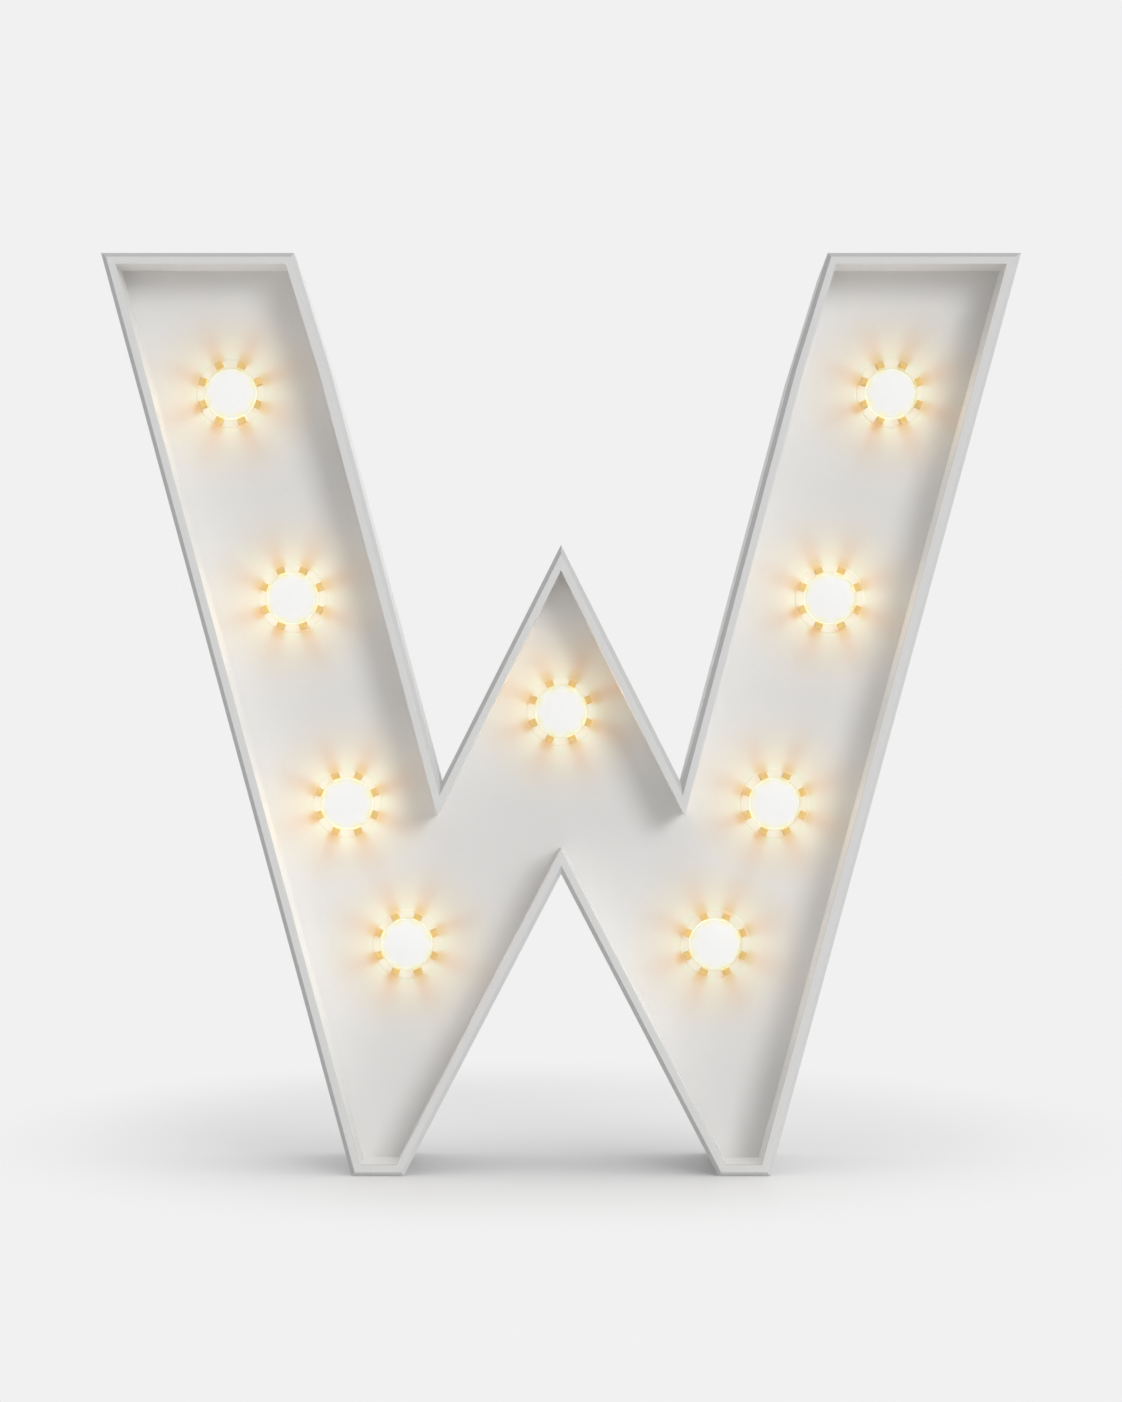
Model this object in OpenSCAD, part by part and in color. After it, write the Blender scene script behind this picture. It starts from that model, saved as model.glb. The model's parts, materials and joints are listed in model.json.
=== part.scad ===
// Light-up letter: a W-shaped tray with nine warm lamps, run from two AA cells in its back.
// The letter stands on its two feet. X runs along its width, +Y points to its back, +Z is up.
// The origin lies on the floor, under the middle of the width and of the depth.

/* [Letter outline] */
// Height of the letter
letter_h = 220; // [198:1:260]
// Width across the two top outer corners
letter_w = 219.3; // [197:0.1:242]
// Depth from the rim to the back cover
letter_depth = 45; // [40:0.5:60]
// Width of a stroke along the top edge
top_stroke_w = 46.05; // [44:0.05:52]
// Width of a stroke at the bend in its inner edge
bend_stroke_w = 47.1; // [46:0.05:52]
// Distance of the bends below the top edge
bend_drop = 27.8; // [15:0.1:32]
// Width of a stroke at its notch point
notch_stroke_w = 46.57; // [44:0.01:52]
// Height of the two notch points
notch_z = 93.4; // [84:0.1:98]
// Height of the centre peak
peak_z = 150.4; // [140:0.1:170]
// Height of the arch between the legs
arch_z = 72; // [60:0.1:74]
// Width across the outsides of the two feet
feet_w = 99.8; // [96:0.1:112]
// Width of the sole of one foot
foot_w = 12.4; // [11:0.1:18]

/* [Shell] */
// Width of the rim seen from the front
rim_w = 2.7; // [2.2:0.1:4]
// Chamfer on the outer edge of the rim
rim_chamfer = 1; // [0.4:0.1:1.8]
// Depth from the face of the panel to the back, which the battery and the lamps take up
case_depth = 30; // [29:0.5:34]
// Thickness of the panel that carries the lamps
panel_t = 2; // [1.5:0.1:2.5]
// Thickness of the side walls at the back
wall_t = 2.2; // [1.8:0.1:2.6]
// How far the side walls lean inwards from the rim to the back
rear_draft = 1; // [0.4:0.1:1.4]
// Thickness of the lip round the back cover
lip_t = 1.1; // [0.8:0.1:1.3]

/* [Lamps] */
// Distance of the top lamps below the top edge
top_lamp_drop = 32.4; // [28:0.1:36]
// Height of the third lamps, with the second lamps halfway up to the top ones
third_lamp_z = 88.4; // [80:0.1:92]
// Height of the lowest lamps
low_lamp_z = 54.4; // [48:0.1:60]
// Distance of the top lamps from the outer edge
top_lamp_inset = 21; // [18:0.1:25]
// Distance of the second lamps from the outer edge
second_lamp_inset = 22.4; // [19:0.1:26]
// Distance of the third lamps from the outer edge
third_lamp_inset = 22.2; // [19:0.1:26]
// Distance of the lowest lamps from the outer edge
low_lamp_inset = 27.4; // [24:0.1:30]
// Distance of the centre lamp below the peak
centre_lamp_drop = 39.7; // [36:0.1:46]
// Radius of the bulb globe
globe_r = 6; // [5:0.1:6.4]
// Straight part of the globe in front of the panel
globe_rise = 0.5; // [0.2:0.1:3]
// Wall of the globe
globe_wall = 1; // [0.6:0.1:1.4]
// Width of the flange that keeps the globe in its collar
globe_flange_w = 0.6; // [0.4:0.1:0.8]
// Thickness of that flange
globe_flange_t = 1; // [0.6:0.1:1.5]
// Number of prongs round each bulb
prong_count = 8; // [6:1:10]
// Width of a prong
prong_w = 1.9; // [1.2:0.1:2.4]
// Thickness of a prong, measured away from the bulb
prong_t = 1.5; // [1:0.1:1.8]
// Height of the prongs above the panel
prong_h = 3.2; // [2:0.1:6]
// Space between the globe and the prongs
prong_gap = 0.4; // [0.2:0.1:0.6]
// Thickness of the collar ring on the panel
collar_ring_t = 0.8; // [0.5:0.1:1.2]
// Wall of the collar barrel round the flange of the globe
collar_wall = 0.8; // [0.6:0.1:1.2]
// Edge of the collar ring outside the barrel
collar_edge = 0.9; // [0.8:0.1:1.5]
// Length of the collar barrel behind the face of the panel
collar_l = 5; // [4:0.1:6]
// Radius of the round board behind a collar
led_board_r = 8.5; // [8.2:0.1:9]
// Thickness of that board
led_board_t = 1; // [0.8:0.1:1.6]
// Radius of the light source
led_r = 2.5; // [2:0.1:2.8]
// Height of the light source on its board
led_h = 8; // [6:0.1:9]

/* [Back cover] */
// Thickness of the back cover and of the battery door
cover_t = 2; // [1.8:0.1:2.4]
// Radius of the bosses in the shell
boss_r = 3.5; // [3:0.1:3.6]
// Radius of the screw shanks
screw_r = 1.25; // [1:0.05:1.5]
// Length of the screws under their heads
screw_l = 10; // [8:0.5:12]
// Radius of the screw heads
screw_head_r = 2.6; // [2.2:0.1:2.7]
// Thickness of the screw heads
screw_head_t = 1.5; // [1.2:0.1:1.8]
// Depth of the wells that sink the screws
screw_well_depth = 3; // [2.2:0.1:4]
// Floor under the screw heads
screw_seat_t = 1.5; // [1.2:0.1:2]
// Wall of the screw wells
screw_well_wall = 1; // [0.8:0.1:1.1]
// Distance of the top screws below the top edge
top_screw_drop = 10; // [9:0.1:13]
// Distance of the top screws from the inner edge
top_screw_inset = 9.5; // [9:0.1:12]
// Distance of the middle screws below the middle of the battery well
mid_screw_drop = 38; // [36:0.1:40]
// Distance of the middle screws from the inner edge
mid_screw_inset = 7.8; // [7.6:0.1:8]
// Height of the screws in the feet
foot_screw_z = 12; // [10:0.1:20]
// Height of the centre screw above the arch
centre_screw_rise = 19; // [17:0.1:21]
// Distance of the keyholes from the outer edge
key_inset = 19.2; // [16:0.1:22]
// Distance of the round parts of the keyholes below the top edge
key_drop = 20; // [17:0.5:22]
// Radius of the round part of a keyhole
key_head_r = 4; // [3.5:0.1:4.5]
// Width of the slot of a keyhole
key_slot_w = 4; // [3:0.1:5]
// Length of the slot above the round part
key_slot_l = 7; // [6:0.5:8]

/* [Battery] */
// Radius of a battery cell
cell_r = 7.1; // [6.8:0.05:7.25]
// Length of a cell with its nub
cell_l = 50.5; // [49:0.1:51]
// Radius of the nub of a cell
nub_r = 2.75; // [2:0.05:3]
// Length of the nub of a cell
nub_l = 1.5; // [1:0.1:2]
// Space between the two cells
cell_gap = 1; // [0.6:0.1:1.2]
// Space between a cell and the side of the well
cell_side_gap = 0.55; // [0.3:0.05:0.8]
// Space between the cells and the door
cell_door_gap = 0.7; // [0.5:0.1:1.2]
// Length of a battery spring as it is held
spring_l = 6; // [5:0.1:7]
// Distance of the middle of the battery well below the top edge
well_drop = 70; // [68:0.5:73]
// Wall of the battery well
well_wall = 2.5; // [2.3:0.1:2.8]
// Floor of the battery well
well_floor_t = 1.5; // [1.2:0.1:2]
// Thickness of the contact plates
contact_t = 0.4; // [0.3:0.05:0.6]
// Width of a contact plate
contact_w = 11; // [9:0.1:12]
// Height of a contact plate
contact_h = 12; // [10:0.1:12.6]
// Height of the bump that meets the nub of a cell
contact_bump = 1.7; // [1.6:0.1:2.2]
// Radius of that bump
contact_bump_r = 2.2; // [1.5:0.1:2.7]
// Width of the solder tabs
tab_w = 3; // [2:0.1:4]
// Length of the solder tabs below the floor
tab_l = 2.4; // [2.2:0.1:2.4]
// Radius of the wire of the battery springs
spring_wire_r = 0.4; // [0.3:0.05:0.45]
// Radius of a spring at the contact plate
spring_base_r = 4.6; // [4:0.1:5]
// Radius of a spring at the cell
spring_tip_r = 2.6; // [2.2:0.1:3.2]
// Turns of a spring
spring_turns = 3; // [2:1:3]
// Length of the polarity marks in the well
mark_l = 5; // [4:0.1:6]
// Width of their strokes
mark_w = 1; // [0.8:0.1:1.2]
// Depth of the engraved marks
mark_depth = 0.3; // [0.2:0.05:0.5]
// Distance of the polarity marks from the middle of the well
mark_z = 18; // [12:0.5:22]

/* [Battery door] */
// Radius of the hinge pins
hinge_pin_r = 1; // [0.8:0.05:1.1]
// Length of the hinge pins
hinge_pin_l = 1.8; // [1.4:0.1:1.9]
// Gap between the hinge end of the door and the cover
hinge_gap = 0.6; // [0.6:0.1:1]
// Width of the hinge knuckles
knuckle_w = 2; // [1.6:0.1:2.2]
// Length of the ledge under the free end of the door
ledge_l = 2; // [1.4:0.1:2.2]
// Gap round the door
door_gap = 0.3; // [0.25:0.05:0.5]
// Number of grip grooves on the door
groove_count = 5; // [3:1:7]
// Width and depth of a grip groove
groove_w = 0.9; // [0.6:0.1:1.2]
// Length of a grip groove
groove_l = 16; // [10:0.5:20]
// Distance between grip grooves
groove_pitch = 2.2; // [1.8:0.1:3]
// Radius of the finger notch below the door
notch_r = 6; // [5:0.1:7]

/* [Switch] */
// Distance of the switch below the middle of the battery well
switch_drop = 49; // [48.5:0.1:49.5]
// Travel of the switch knob
switch_travel = 4; // [3:0.5:4.5]
// Width of the knob along its travel
knob_w = 5; // [4:0.1:5.5]
// Height of the knob across its travel
knob_h = 4; // [3.5:0.1:4.5]
// Depth of the dish round the knob
dish_depth = 1; // [0.6:0.1:1.2]
// Edge of the dish round the slot
dish_edge = 3; // [2.5:0.1:3.5]
// How far the knob stays below the face of the cover
knob_sink = 0.2; // [0.1:0.1:0.5]
// Thickness of the flange that keeps the knob in
knob_flange_t = 0.9; // [0.7:0.1:1.1]
// Edge of that flange above and below the knob
knob_flange_edge = 1.2; // [1:0.1:1.4]
// Thickness of the pad that backs the dish
pad_t = 0.8; // [0.6:0.1:1]
// Width of the switch body
switch_w = 13; // [12.5:0.1:13.5]
// Height of the switch body across its travel
switch_h = 6.6; // [6:0.1:7]
// Depth of the switch body on its board
switch_depth = 5.7; // [5:0.1:6.5]
// Width of the control board
board_w = 21; // [20:0.1:21.5]
// Height of the control board
board_h = 18; // [17.5:0.1:19]
// Thickness of the control board
board_t = 1.6; // [1.2:0.1:2]
// Radius of the posts that carry the control board
post_r = 2.2; // [2:0.1:2.4]
// Half the distance between those posts along the travel
post_x = 7.8; // [7.6:0.1:8]
// Half the distance between those posts across the travel
post_z = 6.3; // [6.1:0.1:6.5]
// Radius of the screws that hold the control board
board_screw_r = 1; // [0.8:0.05:1.2]
// Length of those screws under their heads
board_screw_l = 6.5; // [5:0.1:7]
// Radius of their heads
board_screw_head_r = 2; // [1.6:0.1:2.2]
// Thickness of their heads
board_screw_head_t = 1.2; // [1:0.1:1.5]
// Length of the resistor on the control board
resistor_l = 6; // [5:0.1:7]
// Radius of its ends
resistor_r = 1.1; // [0.9:0.05:1.2]
// Radius of its legs
resistor_leg_r = 0.3; // [0.25:0.05:0.4]
// Distance of the resistor from the middle of the board
resistor_x = 1.5; // [1:0.1:2]

/* [Wiring] */
// Radius of the wires with their insulation
wire_r = 0.6; // [0.4:0.05:0.65]
// Half the distance between the solder pads of a lamp board
lamp_pad_x = 3; // [2.5:0.1:4]
// Radius of a solder pad
lamp_pad_r = 1.2; // [0.8:0.1:1.5]
// Thickness of a solder pad
lamp_pad_t = 0.3; // [0.2:0.05:0.4]
// Half the distance between the two wires on their way up the stroke
feed_x = 10; // [9.5:0.1:10.5]
// Distance of the lamp wires from the edge of the control board
feed_edge = 2; // [1.5:0.1:2.5]
// Distance of their solder points below the middle of the switch
feed_drop = 3; // [2:0.1:4]
// Length over which they part
feed_spread = 10; // [8:0.5:12]
// How far they pass above the top lamp
feed_over = 11; // [10:0.5:12]
// Rise of the turn from there to the top lamp
feed_turn = 5; // [4:0.5:6]
// Half the distance between the solder points of the battery wires
lead_x = 4; // [3:0.1:5]
// Height of those points above the middle of the switch
lead_rise = 5; // [4:0.1:6]
// Length over which the battery wires close in on them
lead_close = 8; // [6:0.5:10]
// Length taken by a bend in a wire
wire_bend = 2.5; // [2:0.1:3]

/* [Clearances] */
// Radial clearance of lamp pieces, screws and other fixed round pieces
round_gap = 0.1; // [0.05:0.05:0.15]
// Radial clearance of the hinge pins
hinge_clearance = 0.05; // [0.02:0.01:0.08]
// Radial clearance of the sunk screw heads
head_gap = 0.4; // [0.3:0.05:0.5]
// Gap round the back cover
cover_gap = 0.2; // [0.1:0.05:0.3]
// Clearance round the switch knob
knob_gap = 0.25; // [0.15:0.05:0.3]
// Air between a wire or spring and the metal that it meets
contact_air = 0.05; // [0.03:0.01:0.1]

/* [Hidden] */
$fn = 64;
// Overshoot of cuts, so that no thin skin is left on a face
cut = 1;
// Sides of a swept tube, and rings in one turn of a spring
tube_sides = 8;
spring_sides = 6;
spring_rings = 8;
// Steps round the quarter circle of a dome
dome_steps = 16;
// Width and length of the cross recess, as shares of the radius of a screw head
recess_shares = [0.3, 1.2];
// Tip of a screw, as a share of the radius of its shank
tip_share = 0.2;
// Waist of the resistor, as a share of the radius of its ends
waist_share = 0.8;
// Places along the curve that rounds a corner of a wire
bend_steps = [0, 0.3, 0.7, 1];

// Depths of the main layers, from front to back
front_y = -letter_depth / 2;
edge_y = front_y + rim_chamfer;
rear_y = letter_depth / 2;
panel_y = rear_y - case_depth;
panel_back_y = panel_y + panel_t;
cover_y = rear_y - cover_t;
led_board_back_y = panel_y + collar_l + led_board_t;
harness_y = led_board_back_y + lamp_pad_t + wire_r + contact_air;
seat_y = rear_y - screw_well_depth - screw_seat_t;

// Outer edge of the right stroke, as the distance from the middle at a height
outer_slope = (letter_w - feet_w) / 2 / letter_h;
function outer_at(z) = feet_w / 2 + outer_slope * z;

// Outline of the front edge, counter-clockwise as seen from the front, and its two soles
bend_z = letter_h - bend_drop;
top_in = letter_w / 2 - top_stroke_w;
bend_in = outer_at(bend_z) - bend_stroke_w;
notch_in = outer_at(notch_z) - notch_stroke_w;
foot_in = feet_w / 2 - foot_w;
right_half = [
    [feet_w / 2, 0],
    [letter_w / 2, letter_h],
    [top_in, letter_h],
    [bend_in, bend_z],
    [notch_in, notch_z]
];
outline = concat(
    right_half,
    [[0, peak_z]],
    [for (i = [len(right_half) - 1:-1:0]) [-right_half[i][0], right_half[i][1]]],
    [[-foot_in, 0], [0, arch_z], [foot_in, 0]]
);
sole_edges = [10, 13];

// Places along the other slanted edges
function between(a, b, z) = a[0] + (b[0] - a[0]) * (z - a[1]) / (b[1] - a[1]);
function inner_at(z) = z > bend_z
    ? between([top_in, letter_h], [bend_in, bend_z], z)
    : between([bend_in, bend_z], [notch_in, notch_z], z);
function leg_middle_at(z) = (outer_at(z) + between([foot_in, 0], [0, arch_z], z)) / 2;

// Lamp places, from the top of one stroke round to the top of the other
top_lamp_z = letter_h - top_lamp_drop;
lamp_z = [top_lamp_z, (top_lamp_z + third_lamp_z) / 2, third_lamp_z, low_lamp_z];
lamp_inset = [top_lamp_inset, second_lamp_inset, third_lamp_inset, low_lamp_inset];
left_lamps = [for (i = [0:3]) [lamp_inset[i] - outer_at(lamp_z[i]), lamp_z[i]]];
right_lamps = [for (i = [3:-1:0]) [outer_at(lamp_z[i]) - lamp_inset[i], lamp_z[i]]];
lamps = concat(left_lamps, [[0, peak_z - centre_lamp_drop]], right_lamps);
centre_lamp = 4;

// The wires turn back at the centre lamp and the lamps beside it, whose solder pads lie one above the other
function turns_back(i) = abs(i - centre_lamp) < 2;

// Radii of the lamp collar, from the bulb outwards
flange_r = globe_r + globe_flange_w;
barrel_r = flange_r + round_gap + collar_wall;
prong_in_r = globe_r + prong_gap;
collar_ring_r = barrel_r + collar_edge;

// Places of the screws and keyholes
well_z = letter_h - well_drop;
mid_screw_z = well_z - mid_screw_drop;
mid_screw_x = inner_at(mid_screw_z) + mid_screw_inset;
top_screw_z = letter_h - top_screw_drop;
top_screw_x = inner_at(top_screw_z) + top_screw_inset;
key_z = letter_h - key_drop;
key_x = outer_at(key_z) - key_inset;
screw_places = [
    [-top_screw_x, top_screw_z],
    [top_screw_x, top_screw_z],
    [-mid_screw_x, mid_screw_z],
    [mid_screw_x, mid_screw_z],
    [-leg_middle_at(foot_screw_z), foot_screw_z],
    [leg_middle_at(foot_screw_z), foot_screw_z],
    [0, arch_z + centre_screw_rise]
];
screw_well_r = screw_head_r + head_gap;

// Frame of the stroke that holds the battery: its middle, and its lean from upright
well_x = -(outer_at(well_z) + inner_at(well_z)) / 2;
outer_lean = atan(outer_slope);
inner_lean = atan((bend_in - notch_in) / (bend_z - notch_z));
lean = -(outer_lean + inner_lean) / 2;

// Battery well, in the frame of the stroke
cell_x = cell_r + cell_gap / 2;
well_w = 2 * (cell_x + cell_r + cell_side_gap);
well_l = cell_l + spring_l + contact_bump + 2 * contact_t;
well_y = cover_y - cell_door_gap - 2 * cell_r;
well_back_y = well_y - well_floor_t;
cell_y = well_y + cell_r;
plate_z = well_l / 2 - contact_t;
lead_y = well_back_y - tab_l + wire_r + contact_air;

// Battery door
door_w = well_w - 2 * door_gap;
knuckle_r = cover_t;
hinge_z = well_l / 2 - knuckle_r - hinge_gap;
opening_low_z = -well_l / 2 - ledge_l;

// Switch, in the frame of the stroke
slot_w = knob_w + switch_travel + 2 * knob_gap;
slot_h = knob_h + 2 * knob_gap;
dish_w = slot_w + 2 * dish_edge;
dish_h = slot_h + 2 * dish_edge;
flange_top_y = cover_y - pad_t - knob_gap;
switch_top_y = flange_top_y - knob_flange_t - knob_gap;
board_back_y = switch_top_y - switch_depth;
board_front_y = board_back_y - board_t;
stem_w = knob_w / 2;
stem_depth = switch_depth / 2;
board_pilot_l = board_screw_l - board_t + cut;
post_places = [[post_x, post_z], [-post_x, -post_z]];

// Outline moved inwards by its own distance at each edge, where edge i starts at point i
function edge_way(p, i) = let (d = p[(i + 1) % len(p)] - p[i]) d / norm(d);
function inward(p, i) = let (u = edge_way(p, i)) [-u[1], u[0]];
function inset(p, d) = [
    for (i = [0:len(p) - 1])
        let (h = (i + len(p) - 1) % len(p))
        let (m = inward(p, h), n = inward(p, i))
        p[i] + [d[h] * n[1] - d[i] * m[1], d[i] * m[0] - d[h] * n[0]] / (m[0] * n[1] - m[1] * n[0])
];
function all_edges(d) = [for (i = [0:len(outline) - 1]) d];
function but_soles(d, sole) = [
    for (i = [0:len(outline) - 1]) i == sole_edges[0] || i == sole_edges[1] ? sole : d
];

// Swept tubes: frames that turn as little as they can along a list of points
function unit(v) = v / norm(v);
function square_to(v, t) = unit(v - (v * t) * t);
function tangent(p, i) = unit(p[min(i + 1, len(p) - 1)] - p[max(i - 1, 0)]);
function normals(p, start) = [
    for (i = 0, n = square_to(start, tangent(p, 0));
         i < len(p);
         i = i + 1, n = i < len(p) ? square_to(n, tangent(p, i)) : n) n
];

// Route with each corner rounded over a set length
function corner(a, b, c, t) = let (p = b + unit(a - b) * wire_bend, q = b + unit(c - b) * wire_bend)
    (1 - t) * (1 - t) * p + 2 * t * (1 - t) * b + t * t * q;
function rounded(p) = concat(
    [p[0]],
    [for (i = [1:len(p) - 2]) for (t = bend_steps) corner(p[i - 1], p[i], p[i + 1], t)],
    [p[len(p) - 1]]
);

// Place in the part of a point given in the frame of the stroke
function in_stroke(x, y, z) = [
    well_x + x * cos(lean) + z * sin(lean),
    y,
    well_z - x * sin(lean) + z * cos(lean)
];

// Least distance between points of a list that are at least so many steps apart
function self_distance(p, apart) = min([
    for (i = [0:len(p) - 1 - apart]) for (j = [i + apart:len(p) - 1]) norm(p[i] - p[j])
]);

// Flat slab of an outline between two depths
module slab(points, y0, y1) {
    translate([0, y1, 0]) rotate([90, 0, 0]) linear_extrude(y1 - y0) polygon(points);
}

// Closed ring of triangles that follows the outline; each corner of its section is a depth and an outline
module ring(sections) {
    n = len(sections[0][1]);
    m = len(sections);
    points = [for (s = sections) for (p = s[1]) [p[0], s[0], p[1]]];
    faces = [
        for (k = [0:m - 1]) for (i = [0:n - 1])
            let (j = (i + 1) % n, l = (k + 1) % m)
            each [[k * n + i, k * n + j, l * n + j], [k * n + i, l * n + j, l * n + i]]
    ];
    polyhedron(points, faces);
}

// Closed tube of triangles along a list of points
module tube(p, r, sides, start) {
    n = normals(p, start);
    last = len(p) - 1;
    points = [
        for (i = [0:last]) for (j = [0:sides - 1])
            let (a = 360 * j / sides)
            p[i] + r * (cos(a) * n[i] + sin(a) * cross(tangent(p, i), n[i]))
    ];
    walls = [
        for (i = [0:last - 1]) for (j = [0:sides - 1])
            let (a = i * sides + j, b = i * sides + (j + 1) % sides)
            each [[a, a + sides, b], [b, a + sides, b + sides]]
    ];
    caps = [
        for (j = [1:sides - 2])
            each [[0, j, j + 1], [last * sides, last * sides + j + 1, last * sides + j]]
    ];
    polyhedron(points, concat(walls, caps));
}

// Cylinder that runs towards the back from a depth
module rod(x, z, y0, y1, r) {
    translate([x, y0, z]) rotate([-90, 0, 0]) cylinder(h = y1 - y0, r = r);
}

// Box given by its middle across and up, its depths and its size
module box(x, z, y0, y1, w, h) {
    translate([x - w / 2, y0, z - h / 2]) cube([w, y1 - y0, h]);
}

// Frame of the stroke that holds the battery, and of the switch below the battery
module in_battery_stroke() {
    translate([well_x, 0, well_z]) rotate([0, lean, 0]) children();
}
module at_switch() {
    in_battery_stroke() translate([0, 0, -switch_drop]) children();
}

// Frame of a lamp: its face lies on the panel and its axis points to the front
module at_lamp(place) {
    translate([place[0], panel_y, place[1]]) rotate([90, 0, 0]) children();
}

// Cuts that chamfer the rim, and that lean the side walls inwards behind it but leave the soles flat
module rim_cut() {
    ring([
        [front_y - cut, inset(outline, all_edges(rim_chamfer + cut))],
        [front_y - cut, inset(outline, all_edges(-cut))],
        [edge_y + cut, inset(outline, all_edges(-cut))]
    ]);
}
module draft_cut() {
    overshoot = cut * rear_draft / (rear_y - edge_y);
    ring([
        [edge_y - cut, inset(outline, but_soles(-overshoot, -cut))],
        [rear_y + cut, inset(outline, all_edges(-2 * cut))],
        [rear_y + cut, inset(outline, but_soles(rear_draft + overshoot, -cut))]
    ]);
}

// White moulding with the rim, the side walls, the panel and the screw bosses
module front_shell() {
    pilot_y = seat_y - screw_l - cut;
    color("white") difference() {
        union() {
            difference() {
                slab(outline, front_y, rear_y);
                rim_cut();
                draft_cut();
                slab(inset(outline, all_edges(rim_w)), front_y - cut, panel_y);
                slab(inset(outline, but_soles(rear_draft + wall_t, wall_t)), panel_back_y, rear_y + cut);
                slab(inset(outline, but_soles(rear_draft + lip_t, lip_t)), cover_y, rear_y + cut);
            }
            for (p = screw_places) rod(p[0], p[1], panel_back_y - panel_t / 2, seat_y, boss_r);
        }
        for (p = screw_places) rod(p[0], p[1], pilot_y, seat_y + cut, screw_r + round_gap);
        for (p = lamps) rod(p[0], p[1], panel_y - cut, panel_back_y + cut, barrel_r + round_gap);
    }
}

// Ring on the panel with prongs round the bulb and a barrel through the panel
module lamp_collar(place) {
    step_z = globe_flange_t + 2 * round_gap;
    color("moccasin") at_lamp(place) {
        difference() {
            union() {
                translate([0, 0, -collar_l]) cylinder(h = collar_l, r = barrel_r);
                cylinder(h = collar_ring_t, r = collar_ring_r);
                for (k = [0:prong_count - 1]) {
                    rotate([0, 0, 360 * (k + 0.5) / prong_count])
                        translate([prong_in_r, -prong_w / 2, collar_ring_t / 2])
                            cube([prong_t, prong_w, prong_h - collar_ring_t / 2]);
                }
            }
            translate([0, 0, -collar_l - cut])
                cylinder(h = collar_l + collar_ring_t + 2 * cut, r = globe_r + round_gap);
            translate([0, 0, -collar_l - cut]) cylinder(h = step_z + cut, r = flange_r + round_gap);
        }
    }
}

// Hollow opal bulb with a flange behind the step of its collar
module bulb_globe(place) {
    inner_r = globe_r - globe_wall;
    dome = function (r, a) [r * cos(a), globe_rise + r * sin(a)];
    color("lightyellow") at_lamp(place) rotate_extrude() polygon(concat(
        [[inner_r, -collar_l], [flange_r, -collar_l], [flange_r, globe_flange_t - collar_l],
         [globe_r, globe_flange_t - collar_l]],
        [for (k = [0:dome_steps]) dome(globe_r, 90 * k / dome_steps)],
        [for (k = [dome_steps:-1:0]) dome(inner_r, 90 * k / dome_steps)]
    ));
}

// Light source with its rim, standing on its board inside the globe
module led(place) {
    rim_t = 1;
    rim_edge = 0.4;
    dome = function (a) [led_r * cos(a), led_h - led_r + led_r * sin(a)];
    color("gold") at_lamp(place) translate([0, 0, -collar_l]) rotate_extrude() polygon(concat(
        [[0, 0], [led_r + rim_edge, 0], [led_r + rim_edge, rim_t], [led_r, rim_t]],
        [for (k = [0:dome_steps]) dome(90 * k / dome_steps)]
    ));
}

// Round board that closes a collar, with the two solder pads on its back
module led_board(place, turn) {
    color("darkgreen") at_lamp(place) translate([0, 0, -collar_l - led_board_t]) {
        cylinder(h = led_board_t, r = led_board_r);
        for (side = [-1, 1]) {
            rotate([0, 0, turn]) translate([side * lamp_pad_x, 0, -lamp_pad_t])
                cylinder(h = lamp_pad_t + led_board_t / 2, r = lamp_pad_r);
        }
    }
}

// Rear plate with the battery well, the screw wells, the switch dish and the keyholes
module back_cover() {
    bore_l = well_w / 2 + hinge_pin_l + door_gap;
    tab_slot = contact_t + door_gap;
    tab_slot_z = (well_l - tab_slot) / 2;
    outer_w = well_w + 2 * well_wall;
    outer_l = well_l + 2 * well_wall;
    color("whitesmoke") difference() {
        union() {
            slab(
                inset(outline, but_soles(rear_draft + lip_t + cover_gap, lip_t + cover_gap)),
                cover_y, rear_y
            );
            for (p = screw_places) rod(p[0], p[1], seat_y, rear_y, screw_well_r + screw_well_wall);
            in_battery_stroke() box(0, 0, well_back_y, rear_y - cover_t / 2, outer_w, outer_l);
            at_switch() {
                box(0, 0, cover_y - pad_t, rear_y - dish_depth, dish_w, dish_h);
                for (p = post_places) rod(p[0], p[1], board_back_y, rear_y - dish_depth, post_r);
            }
        }
        for (p = screw_places) {
            rod(p[0], p[1], seat_y + screw_seat_t, rear_y + cut, screw_well_r);
            rod(p[0], p[1], seat_y - cut, rear_y, screw_r + round_gap);
        }
        for (x = [-key_x, key_x]) keyhole(x);
        in_battery_stroke() {
            box(0, 0, well_y, rear_y + cut, well_w, well_l);
            translate([-well_w / 2, cover_y, opening_low_z]) cube([well_w, cover_t + cut, ledge_l + cut]);
            rod(0, opening_low_z, rear_y - cover_t / 2, rear_y + cut, notch_r);
            translate([-bore_l, cover_y, hinge_z]) rotate([0, 90, 0])
                cylinder(h = 2 * bore_l, r = hinge_pin_r + hinge_clearance);
            for (x = [-cell_x, cell_x]) for (side = [-1, 1])
                box(x, side * tab_slot_z, well_back_y - cut, well_y + cut, tab_w + 2 * door_gap, tab_slot);
        }
        in_battery_stroke() for (side = [-1, 1]) {
            polarity_mark(side * cell_x, -side * mark_z, true);
            polarity_mark(side * cell_x, side * mark_z, false);
        }
        at_switch() {
            switch_marks();
            box(0, 0, rear_y - dish_depth, rear_y + cut, dish_w, dish_h);
            box(0, 0, cover_y - pad_t - cut, rear_y, slot_w, slot_h);
            for (p = post_places)
                rod(p[0], p[1], board_back_y - cut, board_back_y + board_pilot_l, board_screw_r + round_gap);
        }
    }
}

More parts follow.
